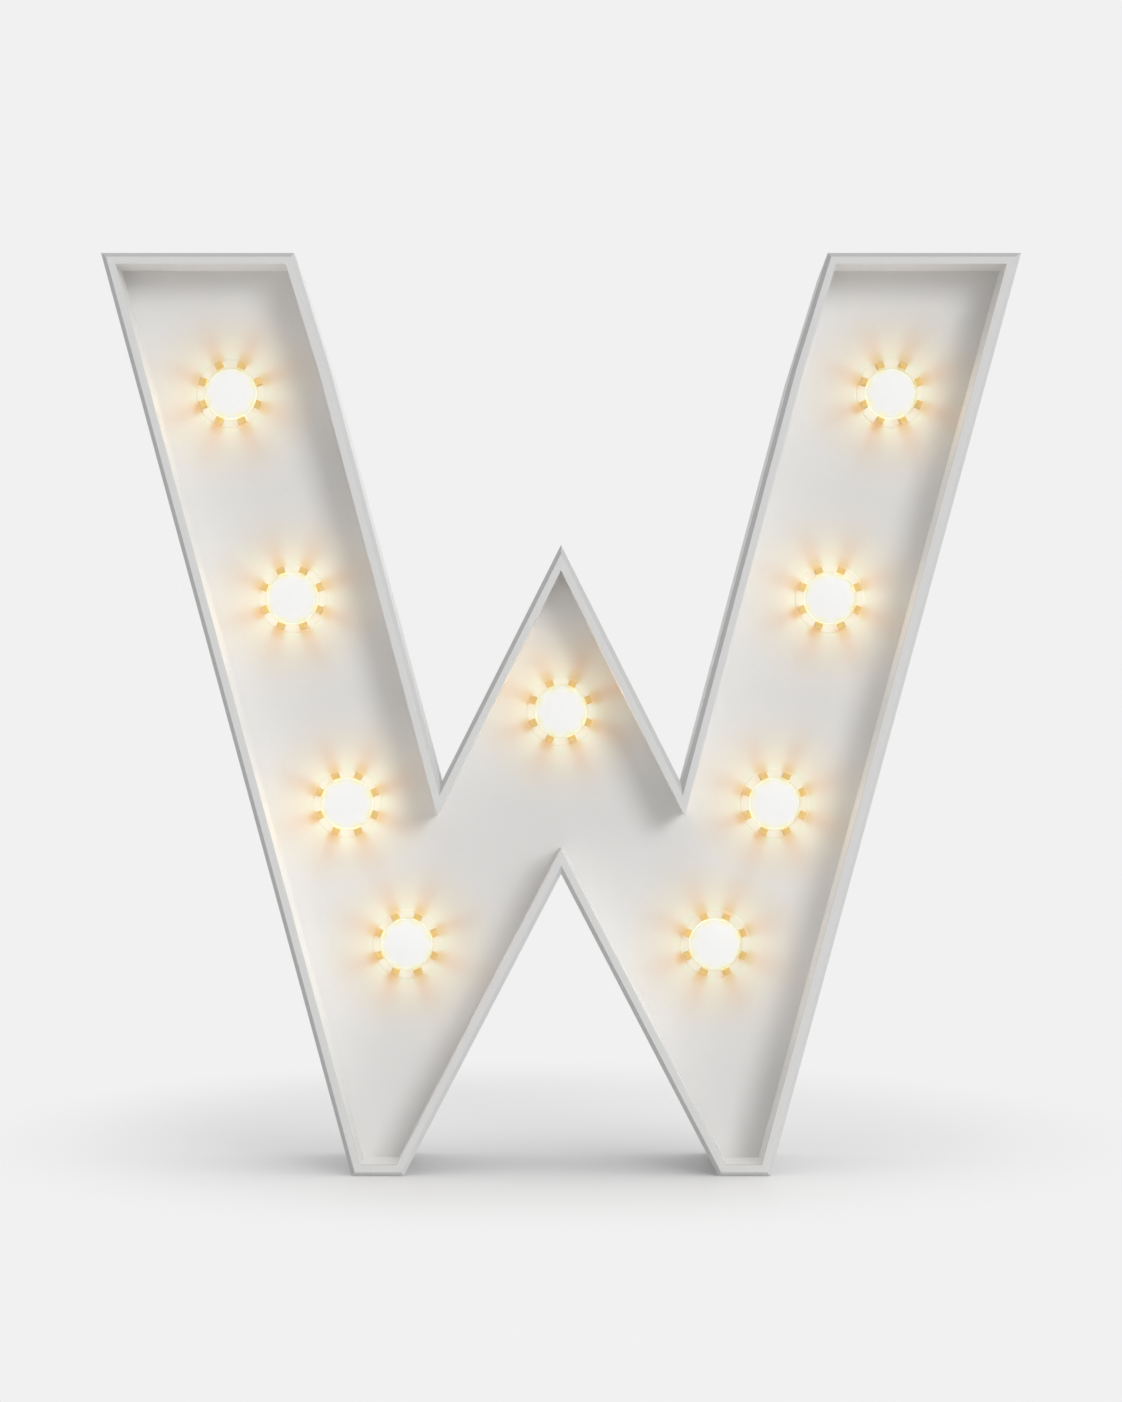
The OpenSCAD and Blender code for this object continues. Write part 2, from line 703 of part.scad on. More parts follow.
// Engraved marks: plus and minus in the floor of the well, a bar for on and a ring for off in the dish
module polarity_mark(x, z, plus) {
    box(x, z, well_y - mark_depth, well_y + cut, mark_l, mark_w);
    if (plus) box(x, z, well_y - mark_depth, well_y + cut, mark_w, mark_l);
}
module switch_marks() {
    place_x = (slot_w + dish_edge) / 2;
    mark_y = rear_y - dish_depth - mark_depth;
    box(place_x, 0, mark_y, rear_y, mark_w / 2, mark_l / 2);
    difference() {
        rod(-place_x, 0, mark_y, rear_y, mark_l / 4);
        rod(-place_x, 0, mark_y - cut, rear_y + cut, mark_l / 4 - mark_w / 2);
    }
}

// Keyhole through the back cover: a round part for a screw head, with a slot above it
module keyhole(x) {
    rod(x, key_z, cover_y - cut, rear_y + cut, key_head_r);
    box(x, key_z + key_slot_l / 2, cover_y - cut, rear_y + cut, key_slot_w, key_slot_l);
    rod(x, key_z + key_slot_l, cover_y - cut, rear_y + cut, key_slot_w / 2);
}

// Screw with a cross recess, its head towards the back, its seat at a depth
module screw(x, z, y, r, length, head_r, head_t) {
    tip_l = 2 * r;
    recess_w = head_r * recess_shares[0];
    recess_l = head_r * recess_shares[1];
    difference() {
        union() {
            rod(x, z, y, y + head_t, head_r);
            rod(x, z, y - length + tip_l, y + head_t / 2, r);
            translate([x, y - length + tip_l, z]) rotate([90, 0, 0])
                cylinder(h = tip_l, r1 = r, r2 = r * tip_share);
        }
        box(x, z, y + head_t / 2, y + head_t + cut, recess_w, recess_l);
        box(x, z, y + head_t / 2, y + head_t + cut, recess_l, recess_w);
    }
}
module cover_screws() {
    color("silver") for (p = screw_places)
        screw(p[0], p[1], seat_y + screw_seat_t, screw_r, screw_l, screw_head_r, screw_head_t);
}
module board_screws() {
    color("silver") at_switch() mirror([0, 1, 0]) for (p = post_places)
        screw(p[0], p[1], -board_front_y, board_screw_r, board_screw_l,
            board_screw_head_r, board_screw_head_t);
}

// Flush door with its hinge knuckles, moulded pins and grip grooves
module battery_door() {
    low_z = opening_low_z + door_gap;
    grip_z = low_z + notch_r;
    color("whitesmoke") in_battery_stroke() difference() {
        union() {
            translate([-door_w / 2, cover_y, low_z]) cube([door_w, cover_t, hinge_z - low_z]);
            intersection() {
                translate([-door_w / 2, cover_y, hinge_z]) rotate([0, 90, 0])
                    cylinder(h = door_w, r = knuckle_r);
                translate([-door_w / 2, cover_y, hinge_z]) cube([door_w, knuckle_r, knuckle_r]);
            }
            for (side = [-1, 1])
                translate([side * (door_w - knuckle_w) / 2 - knuckle_w / 2, cover_y, hinge_z])
                    rotate([0, 90, 0]) cylinder(h = knuckle_w, r = knuckle_r);
            translate([-door_w / 2 - hinge_pin_l, cover_y, hinge_z]) rotate([0, 90, 0])
                cylinder(h = door_w + 2 * hinge_pin_l, r = hinge_pin_r);
        }
        for (k = [0:groove_count - 1])
            box(0, grip_z + k * groove_pitch, rear_y - groove_w / 2, rear_y + cut, groove_l, groove_w);
    }
}

// Cell along the stroke, its nub towards the given end
module battery_cell(x, up) {
    body_l = cell_l - nub_l;
    color("goldenrod") in_battery_stroke() translate([x, cell_y, 0]) mirror([0, 0, up > 0 ? 0 : 1])
        translate([0, 0, plate_z - contact_bump - cell_l]) {
            cylinder(h = body_l, r = cell_r);
            cylinder(h = cell_l, r = nub_r);
        }
}

// Contact plate against an end of the well, with a tab through the floor and a bump for the nub
module contact_plate(x, w, up) {
    box(x, up * (plate_z + contact_t / 2), well_y, well_y + contact_h, w, contact_t);
}
module solder_tab(x, up, length) {
    box(x, up * (plate_z + contact_t / 2), well_back_y - length, well_y + cut, tab_w, contact_t);
}
module nub_bump(x, up) {
    translate([x, cell_y, up * plate_z]) rotate([up > 0 ? 180 : 0, 0, 0])
        translate([0, 0, -contact_t / 2]) cylinder(h = contact_bump + contact_t / 2, r = contact_bump_r);
}
module contact_positive() {
    color("silver") in_battery_stroke() {
        contact_plate(-cell_x, contact_w, 1);
        solder_tab(-cell_x, 1, tab_l);
        nub_bump(-cell_x, 1);
    }
}
module contact_negative() {
    color("silver") in_battery_stroke() {
        contact_plate(cell_x, contact_w, 1);
        solder_tab(cell_x, 1, tab_l);
    }
}
module contact_bridge() {
    color("silver") in_battery_stroke() {
        contact_plate(0, 2 * cell_x + contact_w, -1);
        for (x = [-cell_x, cell_x]) solder_tab(x, -1, 0);
        nub_bump(cell_x, -1);
    }
}

// Conical spring from a contact plate to the flat end of a cell, as points along its axis
spring_run = spring_l - 2 * (spring_wire_r + contact_air);
spring_points = [
    for (k = [0:spring_turns * spring_rings])
        let (t = k / (spring_turns * spring_rings), r = spring_base_r + (spring_tip_r - spring_base_r) * t)
        [r * cos(360 * spring_turns * t), r * sin(360 * spring_turns * t), spring_run * t]
];
spring_self_gap = self_distance(spring_points, spring_rings - 2) - 2 * spring_wire_r;
echo(spring_self_gap = spring_self_gap);
module battery_spring(x, up) {
    color("silver") in_battery_stroke() mirror([0, 0, up > 0 ? 1 : 0])
        translate([x, cell_y, spring_wire_r + contact_air - plate_z])
            tube(spring_points, spring_wire_r, spring_sides, [1, 0, 0]);
}

// Slider that a finger pushes, at the end of its travel where the lamps are on
module switch_knob() {
    rib_w = knob_w / 8;
    color("dimgray") at_switch() translate([switch_travel / 2, 0, 0]) difference() {
        union() {
            box(0, 0, flange_top_y - knob_flange_t, rear_y - knob_sink, knob_w, knob_h);
            box(0, 0, flange_top_y - knob_flange_t, flange_top_y,
                slot_w + switch_travel + 2 * knob_gap, knob_h + 2 * knob_flange_edge);
            box(0, 0, switch_top_y - stem_depth / 2, flange_top_y - knob_flange_t / 2, stem_w, stem_w);
        }
        for (k = [-1.5, -0.5, 0.5, 1.5])
            box(k * 2 * rib_w, 0, rear_y - knob_sink - rib_w, rear_y, rib_w, knob_h + cut);
    }
}

// Switch on the control board, with the slot that the stem of the knob runs in
module switch_body() {
    color("lightslategray") at_switch() difference() {
        box(0, 0, board_back_y, switch_top_y, switch_w, switch_h);
        box(0, 0, switch_top_y - stem_depth, switch_top_y + cut,
            stem_w + switch_travel + 2 * knob_gap, stem_w + 2 * knob_gap);
    }
}

// Board that carries the switch on two posts of the back cover
module control_board() {
    color("darkgreen") at_switch() difference() {
        box(0, 0, board_front_y, board_back_y, board_w, board_h);
        for (p = post_places)
            rod(p[0], p[1], board_front_y - cut, board_back_y + cut, board_screw_r + round_gap);
    }
}

// Resistor on the control board, with its two legs bent down to it
module resistor() {
    end_r = resistor_r;
    waist_r = resistor_r * waist_share;
    leg_x = resistor_l / 2 + end_r;
    place_z = -(switch_h + board_h) / 4;
    axis_y = board_back_y + end_r + round_gap;
    half = [[0, 1 / 2], [end_r, 1 / 2], [end_r, 1 / 3], [waist_r, 1 / 4]];
    outline_r = concat(
        [for (p = half) [p[0], p[1] * resistor_l]],
        [for (i = [len(half) - 1:-1:0]) [half[i][0], -half[i][1] * resistor_l]]
    );
    color("burlywood") at_switch() translate([resistor_x, axis_y, place_z]) {
        rotate([0, 90, 0]) rotate_extrude() polygon(outline_r);
        for (side = [-1, 1]) {
            translate([side * leg_x, 0, 0]) sphere(r = resistor_leg_r);
            translate([side * leg_x, board_back_y - axis_y, 0]) rotate([-90, 0, 0])
                cylinder(h = axis_y - board_back_y, r = resistor_leg_r);
        }
        translate([-leg_x, 0, 0]) rotate([0, 90, 0]) cylinder(h = 2 * leg_x, r = resistor_leg_r);
    }
}

// Wire from the control board up the stroke, then along every lamp board; side -1 is the outer wire
module harness(side) {
    start_z = -switch_drop - feed_drop;
    start_x = side * (board_w / 2 - feed_edge);
    turn_z = left_lamps[0][1] - well_z + feed_over;
    pads = [
        for (i = [0:len(lamps) - 1])
            let (way = turns_back(i) ? [0, 1] : [i < centre_lamp ? 1 : -1, 0])
            let (place = lamps[i] + side * lamp_pad_x * way)
            [place[0], harness_y, place[1]]
    ];
    route = concat(
        [in_stroke(start_x, board_front_y - contact_air, start_z),
         in_stroke(start_x, harness_y, start_z),
         in_stroke(side * feed_x, harness_y, start_z + feed_spread),
         in_stroke(side * feed_x, harness_y, turn_z),
         in_stroke(side * feed_x / 2, harness_y, turn_z + feed_turn)],
        pads
    );
    color(side < 0 ? "crimson" : "black") tube(rounded(route), wire_r, tube_sides, [1, 0, 0]);
}

// Wire from a solder tab, under the battery well, to the control board; side -1 is the positive wire
module battery_lead(side) {
    end_x = side * lead_x;
    end_z = -switch_drop + lead_rise;
    route = [
        in_stroke(side * cell_x, lead_y, plate_z - contact_air),
        in_stroke(side * cell_x, lead_y, end_z + lead_close),
        in_stroke(end_x, lead_y, end_z),
        in_stroke(end_x, board_front_y - contact_air, end_z)
    ];
    color(side < 0 ? "crimson" : "black") tube(rounded(route), wire_r, tube_sides, [1, 0, 0]);
}

front_shell();
back_cover();
cover_screws();
battery_door();
battery_cell(-cell_x, 1);  // battery_cell_1
battery_cell(cell_x, -1);  // battery_cell_2
contact_positive();
contact_negative();
contact_bridge();
battery_spring(-cell_x, -1);  // battery_spring_1
battery_spring(cell_x, 1);  // battery_spring_2
battery_lead(-1);  // battery_lead_positive
battery_lead(1);  // battery_lead_negative
switch_knob();
switch_body();
control_board();
board_screws();
resistor();
harness(-1);  // harness_positive
harness(1);  // harness_negative
for (k = [1:len(lamps)]) {
    lamp_collar(lamps[k - 1]);
    bulb_globe(lamps[k - 1]);
    led(lamps[k - 1]);
    led_board(lamps[k - 1], turns_back(k - 1) ? 90 : 0);
}
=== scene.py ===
import json
import math

import bpy
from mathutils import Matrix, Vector


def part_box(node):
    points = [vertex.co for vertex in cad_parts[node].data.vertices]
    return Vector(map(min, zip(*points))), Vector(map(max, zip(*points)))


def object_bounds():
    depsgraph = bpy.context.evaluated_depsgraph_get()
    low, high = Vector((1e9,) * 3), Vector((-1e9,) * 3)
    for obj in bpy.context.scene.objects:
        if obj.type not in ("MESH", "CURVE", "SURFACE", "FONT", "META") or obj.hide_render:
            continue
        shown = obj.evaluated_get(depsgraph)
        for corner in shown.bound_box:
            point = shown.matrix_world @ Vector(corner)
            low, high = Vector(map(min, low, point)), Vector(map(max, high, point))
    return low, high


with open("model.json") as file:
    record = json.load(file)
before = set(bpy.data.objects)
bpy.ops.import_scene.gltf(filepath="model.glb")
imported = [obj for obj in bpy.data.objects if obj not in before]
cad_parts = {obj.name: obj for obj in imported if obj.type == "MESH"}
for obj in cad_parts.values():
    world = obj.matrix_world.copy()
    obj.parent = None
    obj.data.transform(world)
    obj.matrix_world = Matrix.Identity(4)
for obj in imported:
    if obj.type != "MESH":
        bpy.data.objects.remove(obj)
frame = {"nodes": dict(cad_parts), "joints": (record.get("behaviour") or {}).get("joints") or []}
cad_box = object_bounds()

MM = 0.001
LAMPS = range(1, 10)
CELLS = (1, 2)

# Camera: level, straight in front, at the distance that the photo's perspective shows
CAMERA_TO_RIM = 853.5 * MM
CAMERA_HEIGHT = 113.2 * MM
VIEW_HEIGHT_AT_RIM = 333.8 * MM
SENSOR = 36

# Studio lights: degrees to the right of the front, degrees above the floor, width in degrees, strength,
# and whether shiny surfaces mirror the light
STUDIO = {
    "key": (26, 18, 24, 1.06, False),
    "side": (78, 25, 40, 0.75, False),
    "above": (0, 78, 40, 0.6, True),
    "back": (150, 40, 70, 0.85, False),
}

# Light from all round, and the level at which the background is seen
WORLD_STRENGTH = 0.28
BACKGROUND = 0.88

# Floor: its side in metres, how pale it is as seen and as it throws light back, its own light and its gloss
FLOOR_SIDE = 60
FLOOR_SEEN = 0.42
FLOOR_BOUNCE = 0.55
FLOOR_GLOW = 0.41
FLOOR_GLOSS = 0.1
FLOOR_ROUGHNESS = 0.3

# Shadow on the floor: how far and how strongly the letter shades it, the ellipse that keeps the shadow,
# and the shares of that ellipse between which the floor fades into the background
FLOOR_SHADE_REACH = 0.35
FLOOR_SHADE_POWER = 0.6
FLOOR_MIDDLE_Y = 70 * MM
FLOOR_SHADOW_SIZE = (150 * MM, 180 * MM)
FLOOR_FADE = (0.5, 1.1)

# Lamps: the small light inside each bulb, and its height over the panel
LAMP_POWER = 0.0044
LAMP_COLOUR = (1.0, 0.92, 0.84)
LAMP_SOURCE_R = 2 * MM
LAMP_SOURCE_H = 5 * MM

# Collars: the length behind the panel, the number of prongs, the cosines between which the ray through a
# prong fades out, and the heights over the panel between which the ring's colour gives way to the prongs'
COLLAR_BEHIND_PANEL = 5 * MM
PRONGS = 8
PRONG_RAY = (-1, 0.6)
PRONG_ROOT = (0.9 * MM, 1.6 * MM)

# Distances from a lamp's middle between which one colour runs into the next; the last two are for the
# painted light rays and prong shadows, and for the painted glow, on the shell
BULB_YELLOWING = (4.4 * MM, 5.8 * MM)
BULB_EDGE = (5.5 * MM, 6.0 * MM)
RING_INSIDE = (6.2 * MM, 7.0 * MM)
RING_OUTSIDE = (7.4 * MM, 8.0 * MM)
PRONG_SPAN = (6.4 * MM, 7.9 * MM)
PAINTED_RAYS_SPAN = (8 * MM, 11.5 * MM)
PAINTED_GLOW_SPAN = (9 * MM, 25 * MM)

# Strength at which the bulbs shine, and of the painted glow on the collars and on the collars' outer sides,
# and how squarely a face looks to the front while it stops counting as a side
BULB_GLOW = 0.79
COLLAR_PAINTED_GLOW = 0.08
COLLAR_SIDE_PAINTED_GLOW = 0.3
COLLAR_SIDE_FACING = (0.3, 0.7)

# Rim chamfers and the shade painted on them: where it ends behind the rim's face, how squarely a face looks
# to the front when it stops counting as slanted, the upward part of the normal on a chamfer along the top,
# and the painted shade there
CHAMFER_END = (1.1 * MM, 1.2 * MM)
CHAMFER_FACING = (0.85, 0.95)
CHAMFER_UPWARD = 0.7
CHAMFER_PAINTED_SHADE = 0.62

# Battery cells: half the length, the start of the pale band, the line beside it, and the bare metal ends
CELL_HALF = 25 * MM
CELL_BAND_FROM = 11 * MM
CELL_BAND_LINE = 0.8 * MM
CELL_BARE_END = 1.2 * MM

# Resistor: half the body's length, half a ring's width, and the colour of each ring by its place along the
# body, in millimetres from its middle
RESISTOR_HALF = 3.0 * MM
RESISTOR_RING_HALF = 0.25 * MM
RESISTOR_RINGS = {
    -2.4: (0.12, 0.03, 0.01),
    -1.1: (0.01, 0.01, 0.01),
    0.2: (0.12, 0.03, 0.01),
    2.4: (0.5, 0.34, 0.08),
}

# Boards: the values of the wave between which a track begins, and the height of the tracks
TRACK_EDGE = (0.72, 0.78)
TRACK_HEIGHT = 0.03 * MM

# Noise: the values between which most of it lies, and the depth of the fine textures made from it
NOISE_SPAN = (0.3, 0.7)
TEXTURE_DEPTH = 0.02 * MM

# Rounded edges: their widths, their segments, the least angle in degrees that is rounded, and the distance
# within which points are joined first
EDGE_WIDTH = 0.2 * MM
FINE_EDGE_WIDTH = 0.15 * MM
EDGE_SEGMENTS = 2
EDGE_ANGLE = 35
WELD_DISTANCE = 0.002 * MM


# Node helpers

class Tree:
    """A material's node tree with short calls for the nodes that this scene uses."""

    def __init__(self, name):
        self.material = bpy.data.materials.new(name)
        self.material.use_nodes = True
        self.nodes = self.material.node_tree.nodes
        self.links = self.material.node_tree.links
        self.shader = self.nodes["Principled BSDF"]
        self.place = self.node("ShaderNodeTexCoord").outputs["Object"]

    def node(self, kind, **settings):
        made = self.nodes.new(kind)
        for key, value in settings.items():
            setattr(made, key, value)
        return made

    def put(self, socket, value):
        """Links a socket to another, or sets its value."""
        if isinstance(value, bpy.types.NodeSocket):
            self.links.new(value, socket)
        else:
            socket.default_value = value

    def set(self, **values):
        """Shader inputs by name, with underscores for spaces."""
        for key, value in values.items():
            self.put(self.shader.inputs[key.replace("_", " ")], value)

    def math(self, operation, a, b=0.0):
        made = self.node("ShaderNodeMath", operation=operation)
        self.put(made.inputs[0], a)
        self.put(made.inputs[1], b)
        return made.outputs[0]

    def vector_math(self, operation, a, b=(0, 0, 0), output="Vector"):
        made = self.node("ShaderNodeVectorMath", operation=operation)
        self.put(made.inputs[0], a)
        self.put(made.inputs[1], b)
        return made.outputs[output]

    def component(self, vector, index):
        made = self.node("ShaderNodeSeparateXYZ")
        self.put(made.inputs[0], vector)
        return made.outputs[index]

    def noise(self, scale, detail, roughness=0.5):
        """Cloudy noise. The scale is in features per metre."""
        made = self.node("ShaderNodeTexNoise")
        self.put(made.inputs["Vector"], self.place)
        made.inputs["Scale"].default_value = scale
        made.inputs["Detail"].default_value = detail
        made.inputs["Roughness"].default_value = roughness
        return made.outputs["Fac"]

    def ramp(self, value, low, high, from_value, to_value, smooth=False):
        """Runs from one value to another while the input goes from low to high."""
        made = self.node("ShaderNodeMapRange")
        if smooth:
            made.interpolation_type = "SMOOTHSTEP"
        made.inputs["From Min"].default_value = low
        made.inputs["From Max"].default_value = high
        made.inputs["To Min"].default_value = from_value
        made.inputs["To Max"].default_value = to_value
        self.put(made.inputs["Value"], value)
        return made.outputs["Result"]

    def mix(self, share, a, b, blend="MIX"):
        made = self.node("ShaderNodeMix", data_type="RGBA", blend_type=blend)
        self.put(made.inputs["Factor"], share)
        self.put(made.inputs[6], (*a, 1) if isinstance(a, tuple) else a)
        self.put(made.inputs[7], (*b, 1) if isinstance(b, tuple) else b)
        return made.outputs[2]

    def mix_shader(self, share, a, b):
        made = self.node("ShaderNodeMixShader")
        self.put(made.inputs["Fac"], share)
        self.put(made.inputs[1], a)
        self.put(made.inputs[2], b)
        return made.outputs[0]

    def show(self, shader):
        """Makes a shader the one that the surface shows."""
        self.put(self.nodes["Material Output"].inputs["Surface"], shader)

    def axis(self, index):
        """One coordinate of the surface, in the frame of the part."""
        return self.component(self.place, index)

    def normal(self, index):
        """One component of the direction that the surface faces."""
        return self.component(self.node("ShaderNodeNewGeometry").outputs["True Normal"], index)

    def facing(self):
        """How squarely the surface looks to the front or the back."""
        return self.math("ABSOLUTE", self.normal(1))

    def distance_to(self, point):
        return self.vector_math("DISTANCE", self.place, point, "Value")

    def step_from(self, point):
        return self.vector_math("SUBTRACT", self.place, point)

    def length(self, vector):
        return self.vector_math("LENGTH", vector, output="Value")

    def along(self, point, direction):
        """How far the surface lies from the point in one direction."""
        return self.vector_math("DOT_PRODUCT", self.step_from(point), direction, "Value")

    def between(self, value, low, high):
        """1 where the value lies between low and high, and 0 elsewhere."""
        above = self.math("GREATER_THAN", value, low)
        return self.math("MULTIPLY", above, self.math("LESS_THAN", value, high))

    def bump(self, height, strength, depth=TEXTURE_DEPTH):
        made = self.node("ShaderNodeBump")
        made.inputs["Strength"].default_value = strength
        made.inputs["Distance"].default_value = depth
        self.put(made.inputs["Height"], height)
        self.put(self.shader.inputs["Normal"], made.outputs["Normal"])


def darker(tone, share):
    return tuple(share * c for c in tone)


def middle(node):
    low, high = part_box(node)
    return (low + high) / 2


def nearest(tree, points):
    """Distance from the surface to the nearest of the points, and the step from that point to it."""
    least, step = tree.distance_to(points[0]), tree.step_from(points[0])
    for point in points[1:]:
        distance = tree.distance_to(point)
        step = tree.mix(tree.math("LESS_THAN", distance, least), step, tree.step_from(point))
        least = tree.math("MINIMUM", least, distance)
    return least, step


def prong_share(tree, step):
    """1 on the rays from a lamp's middle through its prongs, 0 on the rays between them."""
    angle = tree.math("ARCTAN2", tree.component(step, 2), tree.component(step, 0))
    wave = tree.math("COSINE", tree.math("MULTIPLY", angle, PRONGS))
    return tree.ramp(wave, *PRONG_RAY, 1, 0, smooth=True)


def radius_from(tree, step):
    """Distance from a lamp's middle, as seen from the front."""
    return tree.length(tree.vector_math("MULTIPLY", step, (1, 0, 1)))


hinge = next(joint for joint in frame["joints"] if joint["name"] == "door_hinge")
across_stroke = Vector(hinge["axis"]).normalized()
rim_y = cad_box[0][1]
panel_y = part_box("lamp_collar_1")[1].y - COLLAR_BEHIND_PANEL
bulb_middles = [middle(f"bulb_globe_{k}") for k in LAMPS]
lamp_middles = [Vector((bulb.x, panel_y, bulb.z)) for bulb in bulb_middles]


# Materials

def painted_lamp_glow(tree, colour):
    """Paints the lamps' light on the shell round them: painted amber shadows behind the prongs, cooler
    painted light rays between them, and a painted warm glow further out.
    """
    painted_prong_shadow, painted_light_rays = (0.89, 0.825, 0.635), (0.94, 1.03, 1.05)
    painted_warm_glow = (1.0, 0.935, 0.79)
    from_lamp, step = nearest(tree, lamp_middles)
    close = tree.ramp(from_lamp, *PAINTED_RAYS_SPAN, 1, 0, smooth=True)
    wide = tree.ramp(from_lamp, *PAINTED_GLOW_SPAN, 1, 0, smooth=True)
    painted_rays_and_shadows = tree.mix(prong_share(tree, step), painted_light_rays, painted_prong_shadow)
    colour = tree.mix(close, colour, painted_rays_and_shadows, "MULTIPLY")
    return tree.mix(wide, colour, painted_warm_glow, "MULTIPLY")


def painted_chamfer_shade(tree, colour):
    """Paints shade on the chamfers of the rim, most where they face up and not at all where they face down.
    """
    slant = tree.ramp(tree.facing(), *CHAMFER_FACING, 1, 0)
    start, end = [rim_y + depth for depth in CHAMFER_END]
    chamfer = tree.math("MULTIPLY", slant, tree.ramp(tree.axis(1), start, end, 1, 0))
    # Painted shade: darker on chamfers that face up
    tone = tree.ramp(tree.normal(2), -CHAMFER_UPWARD, CHAMFER_UPWARD, 1.0, CHAMFER_PAINTED_SHADE)
    return tree.mix(chamfer, colour, tone, "MULTIPLY")


def moulded_white(name, tone, texture, with_painted_light):
    """White moulded plastic, faintly cloudy, with a fine spark texture, and, if it holds the lamps, with
    painted glow and prong shadows round them and painted shade on the rim chamfers.
    """
    tree = Tree(name)
    colour = tree.mix(tree.noise(60, 4), darker(tone, 0.985), tone)
    if with_painted_light:
        colour = painted_chamfer_shade(tree, painted_lamp_glow(tree, colour))
    tree.set(Base_Color=colour, IOR=1.5, Specular_IOR_Level=0.25,
             Roughness=tree.ramp(tree.noise(140, 3), *NOISE_SPAN, 0.36, 0.46))
    tree.bump(tree.noise(texture, 2, 0.6), 0.25)
    return tree.material


def opal_bulb(k):
    """Opal globe, white in its middle and yellow towards its edge, most of all beside the prongs."""
    white, pale_yellow, deep_yellow = (1.0, 1.0, 1.0), (1.0, 1.0, 0.87), (0.99, 0.98, 0.69)
    edge_dim = (0.88, 0.9, 0.92)
    tree = Tree(f"bulb_opal_{k}")
    step = tree.step_from(lamp_middles[k - 1])
    radius = radius_from(tree, step)
    yellow = tree.mix(prong_share(tree, step), pale_yellow, deep_yellow)
    glow = tree.mix(tree.ramp(radius, *BULB_YELLOWING, 0, 1, smooth=True), white, yellow)
    glow = tree.mix(tree.ramp(radius, *BULB_EDGE, 0, 1), glow, edge_dim, "MULTIPLY")
    colour = tree.mix(tree.noise(500, 2), (0.12, 0.117, 0.11), (0.14, 0.137, 0.13))
    tree.set(Base_Color=colour, Roughness=0.5, Specular_IOR_Level=0.2,
             Emission_Color=glow, Emission_Strength=BULB_GLOW)
    return tree.material


def amber_collar(k):
    """Cream ring with amber prongs, which glows with painted light, with painted shade towards the ring's
    inner edge and painted amber shadows on the ring behind the prongs. The lamp's light goes on through it,
    coloured amber.
    """
    cream_with_painted_shade, cream, painted_prong_shadow_on_ring = (0.64, 0.66, 0.54), (0.71, 0.715, 0.64), (0.72, 0.56, 0.32)
    amber_inside, amber = (0.67, 0.46, 0.115), (0.7, 0.53, 0.22)
    tree = Tree(f"collar_amber_{k}")
    step = tree.step_from(lamp_middles[k - 1])
    radius = radius_from(tree, step)
    root_low, root_high = PRONG_ROOT
    on_prong = tree.ramp(tree.axis(1), panel_y - root_high, panel_y - root_low, 1, 0)
    outside = tree.ramp(radius, *RING_OUTSIDE, 0, 1)
    # Painted amber shadow on the ring behind each prong, and painted shade darkening the ring towards its
    # inner edge
    painted_prong_shadow = tree.math("MULTIPLY", outside, prong_share(tree, step))
    prong = tree.mix(tree.ramp(radius, *PRONG_SPAN, 0, 1), amber_inside, amber)
    ring = tree.mix(tree.ramp(radius, *RING_INSIDE, 0, 1), cream_with_painted_shade, cream)
    ring = tree.mix(painted_prong_shadow, ring, painted_prong_shadow_on_ring)
    cloud = tree.math("MULTIPLY", tree.noise(700, 2), 0.15)
    side = tree.ramp(tree.facing(), *COLLAR_SIDE_FACING, COLLAR_SIDE_PAINTED_GLOW, 0)
    side_glow = tree.math("MULTIPLY", side, outside)
    # The emission is painted glow: the collar is no lamp, but shines as if the lamp lit it from within
    tree.set(Base_Color=tree.mix(cloud, tree.mix(on_prong, ring, prong), (0.8, 0.7, 0.5)), Roughness=0.45,
             Emission_Color=tree.mix(on_prong, (1.0, 0.85, 0.6), (1.0, 0.45, 0.08)),
             Emission_Strength=tree.math("MAXIMUM", side_glow, COLLAR_PAINTED_GLOW))
    clear = tree.node("ShaderNodeBsdfTransparent")
    tree.put(clear.inputs["Color"], tree.mix(on_prong, (0.97, 0.95, 0.9), (0.92, 0.5, 0.2)))
    for_shadows = tree.node("ShaderNodeLightPath").outputs["Is Shadow Ray"]
    tree.show(tree.mix_shader(for_shadows, tree.shader.outputs[0], clear.outputs[0]))
    return tree.material


def metal(name, tone, rough, grain):
    """Metal with fine streaks that change its brightness and its polish."""
    tree = Tree(name)
    streak = tree.noise(grain, 4)
    tree.set(Base_Color=tree.mix(streak, darker(tone, 0.85), tone), Metallic=1.0,
             Roughness=tree.ramp(streak, *NOISE_SPAN, rough, rough + 0.15))
    tree.bump(streak, 0.15)
    return tree.material


def plain_plastic(name, tone, rough):
    """Coloured plastic, slightly cloudy and slightly uneven."""
    tree = Tree(name)
    cloud = tree.noise(900, 3)
    tree.set(Base_Color=tree.mix(cloud, darker(tone, 0.8), tone),
             Roughness=tree.ramp(cloud, *NOISE_SPAN, rough, rough + 0.12))
    tree.bump(cloud, 0.2)
    return tree.material


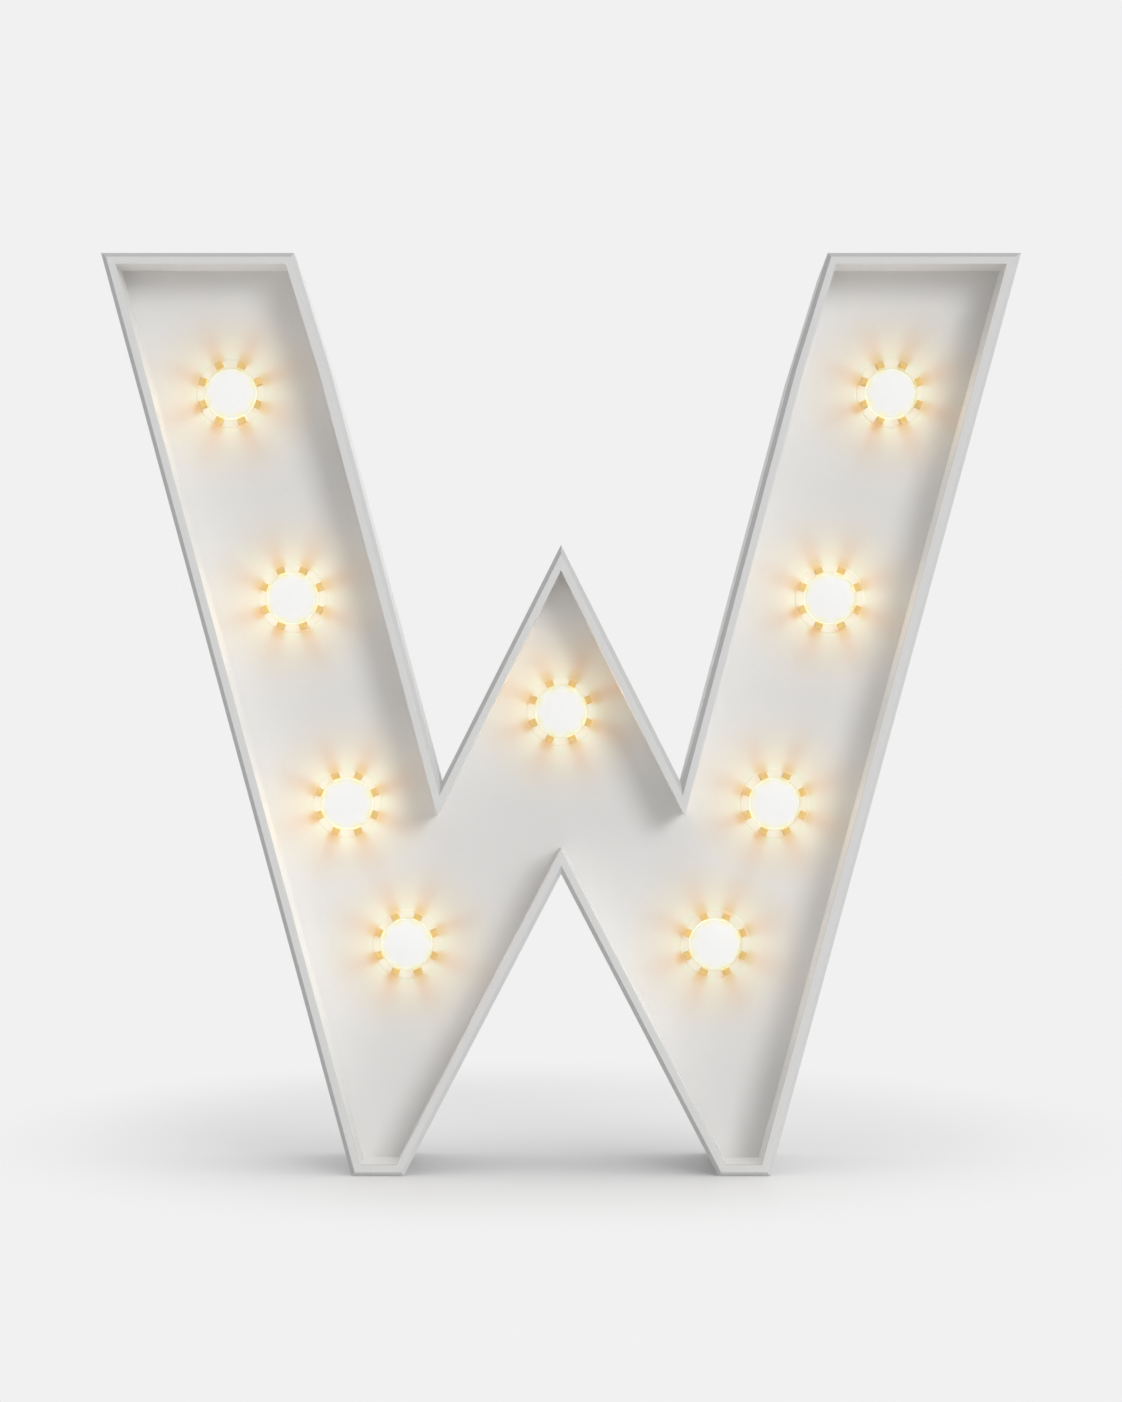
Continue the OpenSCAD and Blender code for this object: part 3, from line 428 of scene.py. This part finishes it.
def cell_wrap(k):
    """Shrink wrap round a cell, with a pale band at its positive end and bare metal at both ends."""
    pale, black, bare_metal = (0.62, 0.6, 0.55), (0.02, 0.02, 0.02), (0.66, 0.66, 0.64)
    tree = Tree(f"cell_wrap_{k}")
    centre = middle(f"battery_cell_{k}")
    to_plus = across_stroke.cross(Vector((0, 1, 0)))
    if to_plus.dot(centre - middle(f"battery_spring_{k}")) < 0:
        to_plus.negate()
    place = tree.along(centre, to_plus)
    band = tree.between(place, CELL_BAND_FROM, CELL_HALF)
    band_line = tree.between(place, CELL_BAND_FROM - CELL_BAND_LINE, CELL_BAND_FROM)
    bare = tree.math("GREATER_THAN", tree.math("ABSOLUTE", place), CELL_HALF - CELL_BARE_END)
    cloud = tree.noise(160, 3)
    wrap = tree.mix(cloud, (0.05, 0.12, 0.15), (0.06, 0.14, 0.17))
    wrap = tree.mix(band, wrap, pale)
    wrap = tree.mix(band_line, wrap, black)
    tree.set(Base_Color=tree.mix(bare, wrap, bare_metal), Metallic=bare,
             Roughness=tree.ramp(cloud, *NOISE_SPAN, 0.28, 0.36))
    tree.bump(cloud, 0.1)
    return tree.material


def banded_resistor():
    """Tan body with colour rings and tinned legs."""
    tree = Tree("resistor_banded")
    place = tree.along(middle("resistor"), across_stroke)
    cloud = tree.noise(1500, 3)
    colour = tree.mix(cloud, (0.52, 0.36, 0.2), (0.6, 0.43, 0.25))
    for at, ring in RESISTOR_RINGS.items():
        start, end = at * MM - RESISTOR_RING_HALF, at * MM + RESISTOR_RING_HALF
        colour = tree.mix(tree.between(place, start, end), colour, ring)
    leg = tree.math("GREATER_THAN", tree.math("ABSOLUTE", place), RESISTOR_HALF)
    tree.set(Base_Color=tree.mix(leg, colour, (0.7, 0.7, 0.68)), Metallic=leg,
             Roughness=tree.ramp(cloud, *NOISE_SPAN, 0.3, 0.4))
    return tree.material


def circuit_board():
    """Green solder mask with paler tracks under it."""
    tree = Tree("board_green")
    tracks = tree.node("ShaderNodeTexWave")
    tree.put(tracks.inputs["Vector"], tree.place)
    for name, value in (("Scale", 180), ("Distortion", 2.5), ("Detail", 1), ("Detail Scale", 0.6)):
        tracks.inputs[name].default_value = value
    line = tree.ramp(tracks.outputs["Fac"], *TRACK_EDGE, 0, 1)
    cloud = tree.noise(900, 3)
    mask = tree.mix(cloud, (0.03, 0.17, 0.07), (0.04, 0.2, 0.085))
    tree.set(Base_Color=tree.mix(line, mask, (0.07, 0.3, 0.13)),
             Roughness=tree.ramp(cloud, *NOISE_SPAN, 0.28, 0.36))
    tree.bump(line, 0.3, TRACK_HEIGHT)
    return tree.material


def give(material, *nodes):
    for name in nodes:
        slots = frame["nodes"][name].data.materials
        slots.clear()
        slots.append(material)


give(moulded_white("shell_white", (0.83, 0.83, 0.825), 2600, with_painted_light=True), "front_shell")
give(moulded_white("cover_white", (0.82, 0.82, 0.815), 1800, with_painted_light=False), "back_cover", "battery_door")
for k in LAMPS:
    give(opal_bulb(k), f"bulb_globe_{k}")
    give(amber_collar(k), f"lamp_collar_{k}")
give(plain_plastic("led_warm", (1.0, 0.8, 0.4), 0.15), *[f"led_{k}" for k in LAMPS])
give(circuit_board(), "control_board", *[f"led_board_{k}" for k in LAMPS])
give(metal("screw_steel", (0.42, 0.42, 0.44), 0.3, 1500), "cover_screws", "board_screws")
give(metal("contact_plate", (0.72, 0.72, 0.7), 0.25, 800),
     "contact_positive", "contact_negative", "contact_bridge")
give(metal("spring_steel", (0.7, 0.7, 0.72), 0.2, 2000), "battery_spring_1", "battery_spring_2")
give(metal("switch_case", (0.55, 0.56, 0.58), 0.3, 1200), "switch_body")
for k in CELLS:
    give(cell_wrap(k), f"battery_cell_{k}")
give(plain_plastic("wire_red", (0.5, 0.03, 0.03), 0.4), "battery_lead_positive", "harness_positive")
give(plain_plastic("wire_black", (0.03, 0.03, 0.032), 0.4), "battery_lead_negative", "harness_negative")
give(plain_plastic("knob_grey", (0.11, 0.11, 0.115), 0.45), "switch_knob")
give(banded_resistor(), "resistor")


# Rounded edges on the CAD pieces

def soften(node, width):
    piece = frame["nodes"][node]
    weld = piece.modifiers.new("weld", "WELD")
    weld.merge_threshold = WELD_DISTANCE
    bevel = piece.modifiers.new("bevel", "BEVEL")
    bevel.width = width
    bevel.segments = EDGE_SEGMENTS
    bevel.limit_method = "ANGLE"
    bevel.angle_limit = math.radians(EDGE_ANGLE)
    bevel.harden_normals = True


soften("back_cover", EDGE_WIDTH)
soften("battery_door", EDGE_WIDTH)
soften("switch_knob", FINE_EDGE_WIDTH)
for k in LAMPS:
    soften(f"lamp_collar_{k}", FINE_EDGE_WIDTH)


# Stage: world, floor, lights and camera

def seen_directly(nodes, links):
    """1 for a ray from the camera, from a reflection or through glass, 0 for a ray that lights a surface."""
    path = nodes.new("ShaderNodeLightPath")
    share = path.outputs["Is Camera Ray"]
    for name in ("Is Glossy Ray", "Is Transmission Ray"):
        either = nodes.new("ShaderNodeMath")
        either.operation = "MAXIMUM"
        links.new(share, either.inputs[0])
        links.new(path.outputs[name], either.inputs[1])
        share = either.outputs[0]
    return share


def make_world():
    """White light from all round, which looks brighter than it lights."""
    world = bpy.data.worlds.new("studio")
    bpy.context.scene.world = world
    world.use_nodes = True
    nodes, links = world.node_tree.nodes, world.node_tree.links
    back = nodes["Background"]
    back.inputs["Color"].default_value = (1, 1, 1, 1)
    level = nodes.new("ShaderNodeMapRange")
    level.inputs["To Min"].default_value = WORLD_STRENGTH
    level.inputs["To Max"].default_value = BACKGROUND
    links.new(seen_directly(nodes, links), level.inputs["Value"])
    links.new(level.outputs["Result"], back.inputs["Strength"])


def floor_near(tree, seen):
    """Floor near the letter: pale and slightly glossy, with a light of its own that the letter shades."""
    matt = tree.node("ShaderNodeBsdfDiffuse")
    tree.put(matt.inputs["Color"], tree.mix(seen, (FLOOR_BOUNCE,) * 3, (FLOOR_SEEN,) * 3))
    gloss = tree.node("ShaderNodeBsdfGlossy")
    gloss.inputs["Color"].default_value = (1, 1, 1, 1)
    gloss.inputs["Roughness"].default_value = FLOOR_ROUGHNESS
    shade = tree.node("ShaderNodeAmbientOcclusion")
    shade.inputs["Distance"].default_value = FLOOR_SHADE_REACH
    level = tree.math("MULTIPLY", tree.math("POWER", shade.outputs["AO"], FLOOR_SHADE_POWER), FLOOR_GLOW)
    glow = tree.node("ShaderNodeEmission")
    tree.put(glow.inputs["Strength"], tree.math("MULTIPLY", level, seen))
    near = tree.node("ShaderNodeAddShader")
    tree.put(near.inputs[0], tree.mix_shader(FLOOR_GLOSS, matt.outputs[0], gloss.outputs[0]))
    tree.put(near.inputs[1], glow.outputs[0])
    return near.outputs[0]


def make_floor():
    """A pale floor that keeps the shadow near the letter and runs into the background further out."""
    half = FLOOR_SIDE / 2
    corners = [(-half, -half, 0), (half, -half, 0), (half, half, 0), (-half, half, 0)]
    mesh = bpy.data.meshes.new("floor")
    mesh.from_pydata(corners, [], [(0, 1, 2, 3)])
    floor = bpy.data.objects.new("floor", mesh)
    bpy.context.scene.collection.objects.link(floor)

    tree = Tree("floor_pale")
    tree.nodes.remove(tree.shader)
    seen = seen_directly(tree.nodes, tree.links)
    far = tree.node("ShaderNodeEmission")
    far.inputs["Strength"].default_value = BACKGROUND
    shift = tree.vector_math("DIVIDE", tree.step_from((0, FLOOR_MIDDLE_Y, 0)), (*FLOOR_SHADOW_SIZE, 1))
    outside = tree.ramp(tree.length(shift), *FLOOR_FADE, 0, 1, smooth=True)
    outside_seen = tree.math("MULTIPLY", outside, seen)
    tree.show(tree.mix_shader(outside_seen, floor_near(tree, seen), far.outputs[0]))
    mesh.materials.append(tree.material)


def light(name, kind, **settings):
    data = bpy.data.lights.new(name, kind)
    for key, value in settings.items():
        setattr(data, key, value)
    lamp = bpy.data.objects.new(name, data)
    bpy.context.scene.collection.objects.link(lamp)
    return lamp


def studio_light(name, azimuth, elevation, width, strength, mirrored):
    lamp = light(name, "SUN", energy=strength, angle=math.radians(width))
    across, up = math.radians(azimuth), math.radians(elevation)
    towards = Vector((-math.sin(across) * math.cos(up), math.cos(across) * math.cos(up), -math.sin(up)))
    lamp.rotation_euler = towards.to_track_quat("-Z", "Y").to_euler()
    lamp.visible_glossy = mirrored


def lamp_light(k):
    """The light from a bulb. The bulb and its light source cast no shadow, so the light gets out."""
    for piece in (f"bulb_globe_{k}", f"led_{k}"):
        frame["nodes"][piece].visible_shadow = False
    lamp = light(f"glow_{k}", "POINT", energy=LAMP_POWER, color=LAMP_COLOUR, shadow_soft_size=LAMP_SOURCE_R)
    lamp.location = lamp_middles[k - 1] + Vector((0, -LAMP_SOURCE_H, 0))


make_world()
make_floor()
for name, setting in STUDIO.items():
    studio_light(name, *setting)
for k in LAMPS:
    lamp_light(k)

camera = bpy.data.objects.new("camera", bpy.data.cameras.new("camera"))
bpy.context.scene.collection.objects.link(camera)
camera.location = (0, rim_y - CAMERA_TO_RIM, CAMERA_HEIGHT)
camera.rotation_euler = (math.radians(90), 0, 0)
camera.data.sensor_width = SENSOR
camera.data.lens = SENSOR * CAMERA_TO_RIM / VIEW_HEIGHT_AT_RIM
bpy.context.scene.camera = camera
bpy.context.scene.view_settings.view_transform = "Standard"
